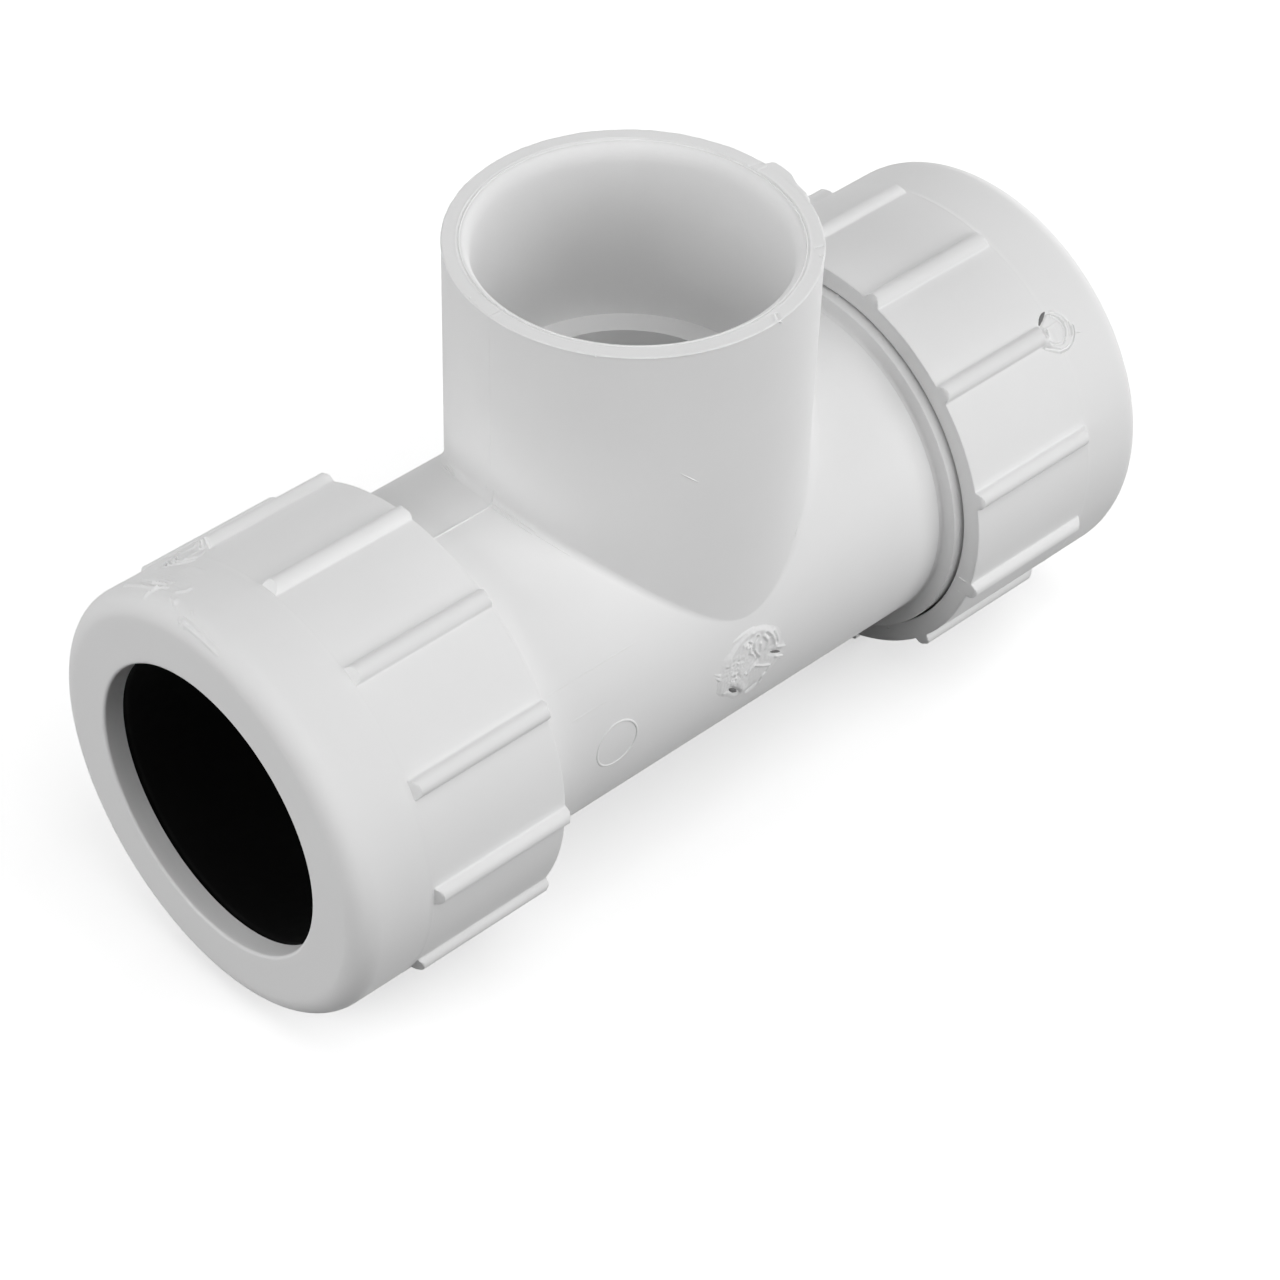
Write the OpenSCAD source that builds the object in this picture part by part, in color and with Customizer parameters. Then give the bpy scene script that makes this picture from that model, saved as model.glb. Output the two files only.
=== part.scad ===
// Compression tee for plastic pipe, in millimetres.
// The run lies along X and takes a plain pipe end at each side, under a screwed nut
// with a rubber sealing ring. The branch stands up along Z and ends in a glued socket.
// The origin is where the axes of the run and the branch cross.

/* [Pipe] */
// Outside diameter of the pipe that the tee joins
pipe_d = 48.3; // [46:0.1:50]
// Play between the pipe and the bore of the run, on the radius
bore_slip = 0.3; // [0.2:0.05:0.6]
// Play between the pipe and the hole of each nut, on the radius
hole_slip = 0.35; // [0.2:0.05:0.6]
// Play between the pipe and the unsqueezed rubber rings, on the radius
ring_slip = 0.3; // [0.2:0.05:0.6]
// Play between the pipe and the branch socket, on the radius
socket_slip = 0.2; // [0.1:0.05:0.5]

/* [Run] */
// Distance from the middle of the tee to each end face of the body
body_reach = 74.6; // [70:0.2:84]
// Wall of the barrel between the two collars
barrel_wall = 5; // [4.6:0.05:8]
// Distance from the middle of the tee to the step of each collar
collar_from = 42.8; // [36:0.1:45]
// Length of each collar along the run
collar_l = 8; // [6:0.5:9]
// Height of each collar above the barrel
collar_h = 2.65; // [1.9:0.05:3.2]
// Rounding of the collar's edge
collar_round = 0.9; // [0.2:0.1:1.5]

/* [Branch] */
// Height of the branch mouth above the axis of the run
branch_h = 63.8; // [60:0.2:80]
// Wall of the branch around its socket, at the mouth
branch_wall = 4.25; // [3.5:0.05:5.2]
// How much slimmer the branch would be at the axis of the run, on the radius
branch_taper = 0.3; // [0:0.05:0.5]
// Depth of the socket from the mouth to its ledge
socket_l = 32.2; // [24:0.2:33]
// Inside diameter of the waterway below the ledge
waterway_d = 40; // [30:0.5:44]
// Width of the rounding inside the mouth
bevel_w = 1.45; // [0.5:0.05:2.5]
// Depth of the rounding inside the mouth
bevel_l = 3.3; // [0.5:0.1:5]
// Radius of the fillet at the foot of the branch, on its left side
root_left_r = 1.2; // [0.8:0.1:4]
// Radius of the fillet at the foot of the branch, on its right side
root_right_r = 4; // [1.5:0.1:5]

/* [Screw threads] */
// Distance from one thread to the next
pitch = 5; // [4.6:0.1:7]
// Height of the threads
thread_h = 1.9; // [1.2:0.1:2]
// Width of a thread at its foot
thread_foot = 2.5; // [1.8:0.1:2.7]
// Width of a thread at its crest
thread_crest = 1.1; // [0.6:0.1:1.4]
// Play between the threads of the body and a nut, on the radius
thread_play = 0.65; // [0.5:0.05:1]

/* [Nuts] */
// Wall of a nut around its threads
nut_wall = 3.05; // [2.8:0.05:5]
// Rounding of a nut's front edge
nut_round = 4; // [3:0.1:6]
// Thickness of the lip that holds the rubber ring
lip_t = 3.4; // [2:0.1:5]
// Rounding of the lip's edge at the hole
lip_round = 0.5; // [0.2:0.1:1]
// Length of the plain mouth at the back of a nut, before its threads
mouth_l = 8; // [6:0.5:9]
// Width of the collar that shows behind the right nut
collar_shows = 1.7; // [1:0.1:3]
// How much further out than the right nut the left nut stands
left_back_off = 0.6; // [0:0.1:3]

/* [Grip ribs] */
// Number of ribs round a nut
rib_n = 12; // [6:1:18]
// Width of a rib, and of the half round that it is
rib_w = 3; // [2:0.1:4]
// Length of a rib from the back of the nut
rib_l = 25.9; // [18:0.1:29]
// How far the left nut's ribs are turned from the top, in degrees
left_rib_turn = 0; // [0:1:29]
// How far the right nut's ribs are turned from the top, in degrees
right_rib_turn = 16; // [0:1:29]

/* [Rubber rings] */
// Wall of the head, outside the body
head_wall = 5.8; // [5:0.1:6.2]
// Length of the head
head_l = 5.6; // [4:0.1:7]
// Bevel of the head's front edge
head_bevel = 1.5; // [0.5:0.1:2]
// Length of the tapered nose inside the body
nose_l = 19; // [12:0.5:22]
// Wall of the nose beside the head
nose_wall = 2.9; // [2:0.1:3.2]
// Wall of the nose at its tip
tip_wall = 1.3; // [0.8:0.1:1.9]
// Gap between an unsqueezed ring and the plastic round it
ring_gap = 0.3; // [0.2:0.05:0.5]

/* [Hidden] */
$fn = 120;

// How far a cut runs past the face that it opens
past = 1;
// How deep the foot of a thread is sunk into the wall that carries it
thread_sink = 0.4;
// How deep the fillet's edges are sunk into the branch and the barrel, and its core behind them
root_sink = 0.1;
root_core = 0.4;
// How many times deeper they sink at the sides of the branch, and how suddenly that sets in
root_deeper = 4;
root_sets_in = 8;
// How far the head of a rubber ring stands out of its chamber, besides the gap
head_shows = 0.5;
// Steps in one turn of a thread, and steps over which its ends rise
thread_steps = 30;
rise_steps = 8;
// Steps round the branch fillet, and across it
root_steps = 72;
root_arcs = 6;
// Steps of the rounding inside the mouth
mouth_steps = 8;

// Radii, from the pipe outwards
bore_r = pipe_d / 2 + bore_slip;
barrel_r = bore_r + barrel_wall;
collar_r = barrel_r + collar_h;
core_r = collar_r - thread_h;
socket_r = pipe_d / 2 + socket_slip;
branch_r = socket_r + branch_wall;
hole_r = pipe_d / 2 + hole_slip;
screw_r = collar_r + thread_play;
nut_r = screw_r + nut_wall;
ring_r = pipe_d / 2 + ring_slip;
head_r = ring_r + head_wall;
nose_r = ring_r + nose_wall;
tip_r = ring_r + tip_wall;
chamber_r = head_r + ring_gap;

// Places along the run, from the middle of the tee
collar_to = collar_from + collar_l;
right_nut_at = collar_from + collar_shows;
left_nut_at = right_nut_at + left_back_off;

// Lengths inside a nut, from its back: the shoulder of its chamber, the lip, the front face
lip_at = body_reach + head_l + 2 * ring_gap - right_nut_at;
shoulder_at = lip_at - head_l + head_shows;
nut_l = lip_at + lip_t;

// Turns a piece that is drawn at the right end to the left end
module at_left() {
    rotate([0, 0, 180]) children();
}

// Revolves an outline of [distance along X, radius] about the run
module turned() {
    rotate([0, 90, 0]) rotate_extrude() mirror([1, -1, 0]) children();
}

// What lies outside a quarter round, in the corner above and to the right
module corner_cut(r) {
    difference() {
        square(r + past);
        circle(r);
    }
}

// Triangles between ring i and ring j of a row of rings with m points each
function band(i, j, m) = [for (k = [0:m - 1]) let (next = (k + 1) % m)
    each [[i * m + k, i * m + next, j * m + next], [i * m + k, j * m + next, j * m + k]]];

// A point of a right-hand thread: x along the run, r from its axis
function on_helix(x, r, turn) = [x, r * cos(turn), r * sin(turn)];

// One ridge of thread between two places on the run. Its crest stands out from its foot,
// or in, and its two ends rise gently out of the wall.
module thread_ridge(from, to, foot_r, crest_r, shift = 0) {
    steps = floor((to - from) / pitch * thread_steps);
    points = [for (i = [0:steps])
        let (x = from + i * pitch / thread_steps,
             turn = 360 * (x - shift) / pitch,
             rise = min(1, (i + 1) / rise_steps, (steps - i + 1) / rise_steps),
             top_r = foot_r + (crest_r - foot_r) * rise)
        each [on_helix(x - thread_foot / 2, foot_r, turn), on_helix(x - thread_crest / 2, top_r, turn),
              on_helix(x + thread_crest / 2, top_r, turn), on_helix(x + thread_foot / 2, foot_r, turn)]];
    faces = concat([[3, 2, 1], [3, 1, 0]], [for (i = [0:steps - 1]) each band(i, i + 1, 4)],
                   [[4 * steps, 4 * steps + 1, 4 * steps + 2], [4 * steps, 4 * steps + 2, 4 * steps + 3]]);
    polyhedron(points, crest_r > foot_r ? faces : [for (face = faces) [face[2], face[1], face[0]]]);
}

// Radius of the branch at a height
function branch_at(z) = branch_r - branch_taper * (1 - z / branch_h);

// Radius of the fillet at a turn round the branch, from the right side
function root_at(turn) = root_left_r + (root_right_r - root_left_r) * (1 + cos(turn)) / 2;

// The fillet between branch and barrel, as a ball rolled round their meeting line would leave it.
// It sinks out of sight at the sides, where the two walls run nearly level with each other.
module root_fillet() {
    points = [for (i = [0:root_steps - 1])
        let (turn = 360 * i / root_steps,
             root_r = root_at(turn),
             deep = root_r + root_core,
             sunk = root_sink * (1 + (root_deeper - 1) * pow(sin(turn), root_sets_in)),
             meets = sqrt(max(0, barrel_r * barrel_r - pow(branch_r * sin(turn), 2))),
             out_r = branch_at(meets) + root_r - sunk,
             over_r = barrel_r + root_r - sunk,
             x = out_r * cos(turn),
             y = out_r * sin(turn),
             z = sqrt(over_r * over_r - y * y),
             centre = [x, y, z],
             to_branch = [-cos(turn), -sin(turn), 0],
             to_barrel = [0, -y, -z] / over_r)
        each concat(
            [centre + deep * to_branch],
            [for (k = [0:root_arcs]) let (way = to_branch * (1 - k / root_arcs) + to_barrel * k / root_arcs)
                centre + root_r * way / norm(way)],
            [centre + deep * to_barrel, centre + deep * (to_branch + to_barrel)])];
    m = root_arcs + 4;
    polyhedron(points, [for (i = [0:root_steps - 1]) each band(i, (i + 1) % root_steps, m)]);
}

// What the rounded mouth of the branch takes out: its edge turns from the face down into the socket
module mouth() {
    translate([0, 0, branch_h]) rotate_extrude() polygon(concat(
        [[0, past], [0, -bevel_l]],
        [for (k = [0:mouth_steps]) let (turn = 90 * k / mouth_steps)
            [socket_r + bevel_w * (1 - cos(turn)), bevel_l * (sin(turn) - 1)]],
        [[socket_r + bevel_w, past]]));
}

// Half of the outline of the run: barrel, collar, core of the thread
module run_outline() {
    difference() {
        translate([-past, 0]) square([collar_from + collar_l + past, collar_r]);
        translate([-2 * past, barrel_r]) square([collar_from + 2 * past, collar_h + past]);
        translate([collar_from + collar_round, collar_r - collar_round])
            mirror([1, 0]) corner_cut(collar_round);
    }
    polygon([[collar_from, 0], [collar_from, core_r - past], [collar_to, core_r - past],
             [collar_to, collar_r], [collar_to + thread_h, core_r], [body_reach - past, core_r],
             [body_reach, core_r - past], [body_reach, 0]]);
}

module tee_body() {
    color("whitesmoke") difference() {
        union() {
            turned() for (side = [0, 1]) mirror([side, 0]) run_outline();
            cylinder(h = branch_h, r1 = branch_at(0), r2 = branch_r);
            root_fillet();
            run_thread();
            at_left() run_thread();
        }
        rotate([0, 90, 0]) cylinder(h = 2 * (body_reach + past), r = bore_r, center = true);
        run_bell();
        at_left() run_bell();
        cylinder(h = branch_h, d = waterway_d);
        translate([0, 0, branch_h - socket_l]) cylinder(h = socket_l + past, r = socket_r);
        mouth();
    }
}

module run_thread() {
    thread_ridge(collar_to + thread_h + thread_foot / 2, body_reach - past - thread_foot / 2,
                 core_r - thread_sink, collar_r);
}

// The tapered pocket at an end of the body, which takes the nose of a rubber ring
module run_bell() {
    slope = (nose_wall - tip_wall) / nose_l;
    turned() polygon([[body_reach - nose_l, 0], [body_reach - nose_l, tip_r + ring_gap],
                      [body_reach + past, nose_r + ring_gap + slope * past], [body_reach + past, 0]]);
}

// A nut drawn at the right end, with its back at a distance from the middle of the tee
module nut(at, rib_turn) {
    translate([at, 0, 0]) {
        turned() nut_outline();
        for (i = [0:rib_n - 1]) rotate([-rib_turn - 360 * i / rib_n, 0, 0]) translate([0, 0, nut_r])
            rotate([0, 90, 0]) cylinder(h = rib_l, d = rib_w);
    }
    thread_ridge(at + mouth_l + thread_foot / 2, at + shoulder_at - thread_h - thread_foot / 2,
                 screw_r + thread_sink, screw_r - thread_h, pitch / 2);
}

// Half section of a nut: wall, chamber, lip
module nut_outline() {
    difference() {
        translate([0, hole_r]) square([nut_l, nut_r - hole_r]);
        translate([nut_l - nut_round, nut_r - nut_round]) corner_cut(nut_round);
        translate([nut_l - lip_round, hole_r + lip_round]) mirror([0, 1]) corner_cut(lip_round);
        polygon([[-past, 0], [-past, screw_r], [shoulder_at - thread_h, screw_r], [shoulder_at, chamber_r],
                 [lip_at - head_bevel, chamber_r], [lip_at, chamber_r - head_bevel], [lip_at, 0]]);
    }
}

// A rubber ring drawn at the right end, held by a nut whose back is at a distance from the middle
module gasket(at) {
    front = at + lip_at - ring_gap;
    back = front - head_l;
    color("#1c1c1c") turned() polygon([[back - nose_l, ring_r], [back - nose_l, tip_r], [back, nose_r],
        [back, head_r], [front - head_bevel, head_r], [front, head_r - head_bevel], [front, ring_r]]);
}

module left_nut() {
    color("whitesmoke") at_left() nut(left_nut_at, left_rib_turn);
}

module right_nut() {
    color("whitesmoke") nut(right_nut_at, right_rib_turn);
}

module left_gasket() {
    at_left() gasket(left_nut_at);
}

module right_gasket() {
    gasket(right_nut_at);
}

tee_body();
left_nut();
left_gasket();
right_nut();
right_gasket();
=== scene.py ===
# %% [markdown]
# # A compression tee, dressed for its portrait
#
# The object is a white plastic pipe tee. A plain pipe end slides into each end of the run,
# where a screwed nut squeezes a black rubber ring onto it, and a third pipe is glued into the branch.
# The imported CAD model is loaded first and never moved: it is the frame that everything else is fitted to.

# %% Load the frame
import math

import bmesh
import bpy
from mathutils import Matrix, Vector, noise


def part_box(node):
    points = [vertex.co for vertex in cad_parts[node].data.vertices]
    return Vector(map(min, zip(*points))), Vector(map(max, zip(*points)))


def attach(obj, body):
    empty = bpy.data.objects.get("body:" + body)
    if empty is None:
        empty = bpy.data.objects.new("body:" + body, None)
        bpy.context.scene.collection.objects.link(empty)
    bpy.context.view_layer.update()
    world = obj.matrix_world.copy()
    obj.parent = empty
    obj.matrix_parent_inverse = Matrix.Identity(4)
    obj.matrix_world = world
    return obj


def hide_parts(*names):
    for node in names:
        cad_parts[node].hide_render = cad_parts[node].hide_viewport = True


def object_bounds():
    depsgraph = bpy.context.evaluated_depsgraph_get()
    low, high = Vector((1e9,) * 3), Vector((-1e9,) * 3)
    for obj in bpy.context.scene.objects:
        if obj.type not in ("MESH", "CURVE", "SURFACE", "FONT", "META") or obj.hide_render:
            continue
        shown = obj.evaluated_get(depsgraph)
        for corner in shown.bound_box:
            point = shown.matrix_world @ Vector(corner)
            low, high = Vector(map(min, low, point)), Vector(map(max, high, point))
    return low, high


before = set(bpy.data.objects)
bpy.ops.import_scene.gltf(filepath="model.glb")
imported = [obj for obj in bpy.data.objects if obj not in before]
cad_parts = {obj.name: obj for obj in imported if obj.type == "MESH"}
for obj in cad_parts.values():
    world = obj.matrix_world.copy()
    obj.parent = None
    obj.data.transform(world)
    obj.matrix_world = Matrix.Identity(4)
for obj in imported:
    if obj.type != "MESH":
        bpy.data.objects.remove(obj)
cad_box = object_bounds()
MM = 0.001
print("nodes:", sorted(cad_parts))

# %% [markdown]
# ## The camera
#
# A photograph can be matched by eye or by fitting. Here the ellipses of the rims, the ends of the ribs and
# the silhouettes gave the direction of view, the distance and the lens. The camera looks down from the
# front left, and it is rolled by two degrees, as a hand-held or straightened photo often is.

# %% Camera at the photo's angle
VIEW_AZIMUTH = math.radians(-44.53)
VIEW_HEIGHT = math.radians(41.98)
VIEW_ROLL = math.radians(1.99)
VIEW_DISTANCE = 629.8 * MM
VIEW_SHIFT = Vector((-2.67 * MM, 12.12 * MM))
LENS = 111.0
SENSOR = 36.0

back = Vector((
    math.sin(VIEW_AZIMUTH) * math.cos(VIEW_HEIGHT),
    -math.cos(VIEW_AZIMUTH) * math.cos(VIEW_HEIGHT),
    math.sin(VIEW_HEIGHT),
))
level = Vector((0, 0, 1)).cross(back).normalized()
upright = back.cross(level)
right = math.cos(VIEW_ROLL) * level + math.sin(VIEW_ROLL) * upright
up = -math.sin(VIEW_ROLL) * level + math.cos(VIEW_ROLL) * upright

camera = bpy.data.objects.new("camera", bpy.data.cameras.new("camera"))
camera.data.lens = LENS
camera.data.sensor_width = SENSOR
camera.data.clip_start = 0.01
place = Matrix((right, up, back)).transposed().to_4x4()
place.translation = VIEW_DISTANCE * back - VIEW_SHIFT.x * right - VIEW_SHIFT.y * up
camera.matrix_world = place
bpy.context.scene.collection.objects.link(camera)
bpy.context.scene.camera = camera
print("camera stands at", [round(v, 3) for v in place.translation])

# %% [markdown]
# ## Floor and light
#
# The photo is a bright product shot on white. The floor is a large pale sheet under the lowest rib.
# Only what the camera and the reflections see of it is lifted to white, so the object keeps a soft shadow
# and gets no extra light. What bounces off it is dark, because the underside of the real one is dark too:
# it stood well away from its paper.

# %% Floor
FLOOR_HALF = 3.0
floor_z = cad_box[0][2]
floor_mesh = bpy.data.meshes.new("floor")
corners = [(x * FLOOR_HALF, y * FLOOR_HALF, floor_z) for x, y in ((-1, -1), (1, -1), (1, 1), (-1, 1))]
floor_mesh.from_pydata(corners, [], [(0, 1, 2, 3)])
floor = bpy.data.objects.new("floor", floor_mesh)
bpy.context.scene.collection.objects.link(floor)
print("floor at", round(floor_z / MM, 1), "mm")

# %% Nodes that several materials need


def joined(nodes, operation, first, second):
    """One value made from two."""
    node = nodes.new("ShaderNodeMath")
    node.operation = operation
    nodes.id_data.links.new(first, node.inputs[0])
    nodes.id_data.links.new(second, node.inputs[1])
    return node.outputs[0]


def seen_ray(nodes):
    """A value that is 1 where the camera, a reflection or a refraction looks, and 0 for light."""
    path = nodes.new("ShaderNodeLightPath").outputs
    seen = joined(nodes, "MAXIMUM", path["Is Camera Ray"], path["Is Glossy Ray"])
    return joined(nodes, "MAXIMUM", seen, path["Is Transmission Ray"])


def between(nodes, value, low, high, start, end):
    """A value that runs from start to end, stretched so that it runs from low to high."""
    spread = nodes.new("ShaderNodeMapRange")
    for socket, number in (("From Min", start), ("From Max", end), ("To Min", low), ("To Max", high)):
        spread.inputs[socket].default_value = number
    nodes.id_data.links.new(value, spread.inputs["Value"])
    return spread.outputs["Result"]


def new_material(name):
    """A material, its nodes and its links."""
    material = bpy.data.materials.new(name)
    material.use_nodes = True
    return material, material.node_tree.nodes, material.node_tree.links


# %% Material of the floor
FLOOR_NEAR = 0.3
FLOOR_FAR = 1.2


def floor_material(seen_colour, bounce_colour, lift):
    """Pale where it is seen, whiter far from the object, and dark for the light that it throws back up."""
    material, nodes, links = new_material("pale_floor")
    nodes.clear()
    out = nodes.new("ShaderNodeOutputMaterial")
    seen = seen_ray(nodes)
    paint = nodes.new("ShaderNodeBsdfDiffuse")
    links.new(between(nodes, seen, bounce_colour, seen_colour, 0, 1), paint.inputs["Color"])
    glow = nodes.new("ShaderNodeEmission")
    reach = nodes.new("ShaderNodeVectorMath")
    reach.operation = "LENGTH"
    links.new(nodes.new("ShaderNodeTexCoord").outputs["Object"], reach.inputs[0])
    distant = between(nodes, reach.outputs["Value"], lift, 1.0, FLOOR_NEAR, FLOOR_FAR)
    links.new(joined(nodes, "MULTIPLY", seen, distant), glow.inputs["Strength"])
    both = nodes.new("ShaderNodeAddShader")
    links.new(paint.outputs[0], both.inputs[0])
    links.new(glow.outputs[0], both.inputs[1])
    links.new(both.outputs[0], out.inputs["Surface"])
    return material


floor_mesh.materials.append(floor_material(seen_colour=0.8, bounce_colour=0.05, lift=0.5))
print("made", floor_mesh.materials[0].name)

# %% [markdown]
# Each part of the photo's shading points to a lamp. One picture was made with each of sixteen lamps alone,
# and the mix that gives the photo's greys at seventy places came out as four large soft boxes: in front
# above, front right, left and right. A weaker fifth lifts the back, and an even grey room fills the shadows.
# The camera and the reflections see the room as white.

# %% World and lamps
ROOM_STRENGTH = 0.09
SOFTBOXES = (
    ("front_light", (0, -0.5, 1), 5.4),
    ("front_right_light", (0.5, -1, 0.3), 11.4),
    ("left_light", (-1, 0.1, 0.4), 9.6),
    ("right_light", (1, 0.35, 0.2), 9.4),
    ("back_light", (-0.1, 1, 0.55), 2.6),
)
world = bpy.data.worlds.new("studio")
world.use_nodes = True
bpy.context.scene.world = world
nodes = world.node_tree.nodes
links = world.node_tree.links
nodes.clear()
world_out = nodes.new("ShaderNodeOutputWorld")
room = nodes.new("ShaderNodeBackground")
room.inputs["Strength"].default_value = ROOM_STRENGTH
backdrop = nodes.new("ShaderNodeBackground")
backdrop.inputs["Color"].default_value = (1, 1, 1, 1)
backdrop.inputs["Strength"].default_value = 1.0
choose = nodes.new("ShaderNodeMixShader")
links.new(seen_ray(nodes), choose.inputs["Fac"])
links.new(room.outputs[0], choose.inputs[1])
links.new(backdrop.outputs[0], choose.inputs[2])
links.new(choose.outputs[0], world_out.inputs["Surface"])


def softbox(name, direction, power, distance=1.3, size=1.0):
    lamp = bpy.data.lights.new(name, "AREA")
    lamp.shape = "SQUARE"
    lamp.size = size
    lamp.energy = power
    holder = bpy.data.objects.new(name, lamp)
    aim = Vector(direction).normalized()
    holder.location = aim * distance
    holder.rotation_euler = aim.to_track_quat("Z", "Y").to_euler()
    bpy.context.scene.collection.objects.link(holder)
    print(name, "at", [round(v, 2) for v in holder.location])


for name, direction, power in SOFTBOXES:
    softbox(name, direction, power)

bpy.context.scene.view_settings.view_transform = "Standard"

# %% [markdown]
# ## Moulded white plastic
#
# Rigid white plastic from a mould is never quite even: the colour drifts a little where the melt flowed,
# the polish of the mould wears in patches, and the skin has a fine orange peel, on the body drawn out along
# the branch. An image could show that, but noise in the object's own space needs no unwrapping and no file.
# A third, dark mix paints the shade into the bottoms of torn pits.

# %% Noise and greys
NOISE_SPAN = (0.3, 0.7)


def noise_node(nodes, links, coords, scale, detail, stretch=(1, 1, 1)):
    """Noise in the object's own space, in features per metre, drawn out along an axis if asked."""
    mapping = nodes.new("ShaderNodeMapping")
    mapping.inputs["Scale"].default_value = stretch
    links.new(coords, mapping.inputs["Vector"])
    texture = nodes.new("ShaderNodeTexNoise")
    texture.inputs["Scale"].default_value = scale
    texture.inputs["Detail"].default_value = detail
    links.new(mapping.outputs[0], texture.inputs["Vector"])
    return texture.outputs["Fac"]


def two_greys(nodes, links, fac, first, second):
    mix = nodes.new("ShaderNodeMix")
    mix.data_type = "RGBA"
    mix.inputs["A"].default_value = (first, first, first, 1)
    mix.inputs["B"].default_value = (second, second, second, 1)
    links.new(fac, mix.inputs["Factor"])
    return mix.outputs["Result"]


print("noise stays mostly between", *NOISE_SPAN)

# %% White plastic
DRIFT_SCALE = 45
POLISH_SCALE = 90
PEEL_SCALE = 1400
PEEL_DEEP = 0.02
PLASTIC_ROUGH = (0.46, 0.6)
PLASTIC_SPECULAR = 0.12


def moulded_plastic(name, dark=0.84, light=0.865, streaks=(1, 1, 1)):
    """Plastic whose grey drifts between two values, with a worn polish and a fine orange peel."""
    material, nodes, links = new_material(name)
    shader = nodes["Principled BSDF"]
    coords = nodes.new("ShaderNodeTexCoord").outputs["Object"]

    drift = noise_node(nodes, links, coords, DRIFT_SCALE, 4)
    grey = two_greys(nodes, links, between(nodes, drift, 0, 1, *NOISE_SPAN), dark, light)
    links.new(grey, shader.inputs["Base Color"])
    shader.inputs["Specular IOR Level"].default_value = PLASTIC_SPECULAR

    polish = noise_node(nodes, links, coords, POLISH_SCALE, 3)
    links.new(between(nodes, polish, *PLASTIC_ROUGH, *NOISE_SPAN), shader.inputs["Roughness"])

    peel = nodes.new("ShaderNodeBump")
    peel.inputs["Strength"].default_value = 0.25
    peel.inputs["Distance"].default_value = PEEL_DEEP * MM
    links.new(noise_node(nodes, links, coords, PEEL_SCALE, 2, streaks), peel.inputs["Height"])
    links.new(peel.outputs[0], shader.inputs["Normal"])
    return material


body_plastic = moulded_plastic("white_pvc_body", streaks=(1, 1, 0.08))
nut_plastic = moulded_plastic("white_pvc_nut")
# painted shade: a dark mix laid in the bottoms of torn pits, where a real pit is in shade
painted_pit_shade = moulded_plastic("shaded_pit", dark=0.15, light=0.24)
print("made", body_plastic.name + ",", nut_plastic.name, "and", painted_pit_shade.name)

# %% [markdown]
# ## Black rubber
#
# The rings are matt rubber, so dark that the hole of the near nut reads as a black disc. One flat black
# would look cut out of the picture, so the roughness drifts a little, as the bloom on real rubber does.

# %% Rubber
RUBBER_GREY = 0.003
BLOOM_SCALE = 260
rubber, nodes, links = new_material("black_rubber")
shader = nodes["Principled BSDF"]
shader.inputs["Base Color"].default_value = (RUBBER_GREY, RUBBER_GREY, RUBBER_GREY, 1)
shader.inputs["Specular IOR Level"].default_value = 0.05
bloom = noise_node(nodes, links, nodes.new("ShaderNodeTexCoord").outputs["Object"], BLOOM_SCALE, 3)
links.new(between(nodes, bloom, 0.6, 0.8, *NOISE_SPAN), shader.inputs["Roughness"])

for name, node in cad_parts.items():
    node.data.materials.clear()
    node.data.materials.append(rubber if "gasket" in name else nut_plastic if "nut" in name else body_plastic)
print("made", rubber.name, "and dressed", len(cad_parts), "solids")

# %% [markdown]
# ## Measures along the run
#
# Both ends of the tee are alike, so each round piece is drawn once, by its distance out from the back of its
# nut, its radius and its turn about the run, and a small function puts it at one end or the other.
# The numbers repeat those of the solid model, in millimetres.

# %% Places round the run
NUT_BACK = {"left": -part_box("left_nut")[1][0] / MM, "right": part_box("right_nut")[0][0] / MM}
RIB_TURN = {"left": 0, "right": 16}
SIDE = {"left": -1, "right": 1}
print("backs of the nuts at", {end: round(at, 2) for end, at in NUT_BACK.items()}, "mm")


def on_run(end, out, radius, turn):
    """A point beside the run: out from the back of the nut, turned in degrees from the branch."""
    side = SIDE[end]
    a = math.radians(turn)
    return Vector((side * (NUT_BACK[end] + out), side * radius * math.sin(a), radius * math.cos(a))) * MM


# %% Helpers for a piece


def evenly(first, last, steps):
    """Values from first to last in equal steps, with both of them."""
    return [first + (last - first) * k / steps for k in range(steps + 1)]


def piece(name, points, faces, body="tee", material=body_plastic, sharp=35):
    """A new object from points and faces, with smooth shading between faces that meet gently."""
    mesh = bpy.data.meshes.new(name)
    mesh.from_pydata(points, [], faces)
    work = bmesh.new()
    work.from_mesh(mesh)
    bmesh.ops.recalc_face_normals(work, faces=work.faces)
    work.to_mesh(mesh)
    work.free()
    mesh.shade_smooth()
    mesh.set_sharp_from_angle(angle=math.radians(sharp))
    mesh.materials.append(material)
    thing = bpy.data.objects.new(name, mesh)
    bpy.context.scene.collection.objects.link(thing)
    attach(thing, body)
    print(name, "has", len(mesh.polygons), "faces")
    return thing


def ring_faces(rows, columns, closed=True):
    """Faces of a grid that closes round its columns. Its last row joins its first, or each end gets a cap."""
    faces = [
        (i * columns + k, i * columns + (k + 1) % columns,
         (i + 1) % rows * columns + (k + 1) % columns, (i + 1) % rows * columns + k)
        for i in range(rows if closed else rows - 1) for k in range(columns)
    ]
    if not closed:
        faces += [tuple(range(columns)), tuple(rows * columns - 1 - k for k in range(columns))]
    return faces


# %% [markdown]
# ## The nuts
#
# A nut is a thick cup with twelve half-round grip ribs. It could be cut together from a turned cup and
# twelve rods, but a boolean leaves hard creases and long thin faces. Here the whole skin is one grid:
# its rows follow the outline of the cup, and its columns stand closer together where a rib passes,
# so the foot of each rib can have the small soft fillet that a mould leaves.

# %% Section of a rib
NUT_R = 35.8
RIB_R = 1.5
RIB_FILLET = 0.4
RIB_COUNT = 12
PLAIN_COLUMNS = 11


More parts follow.
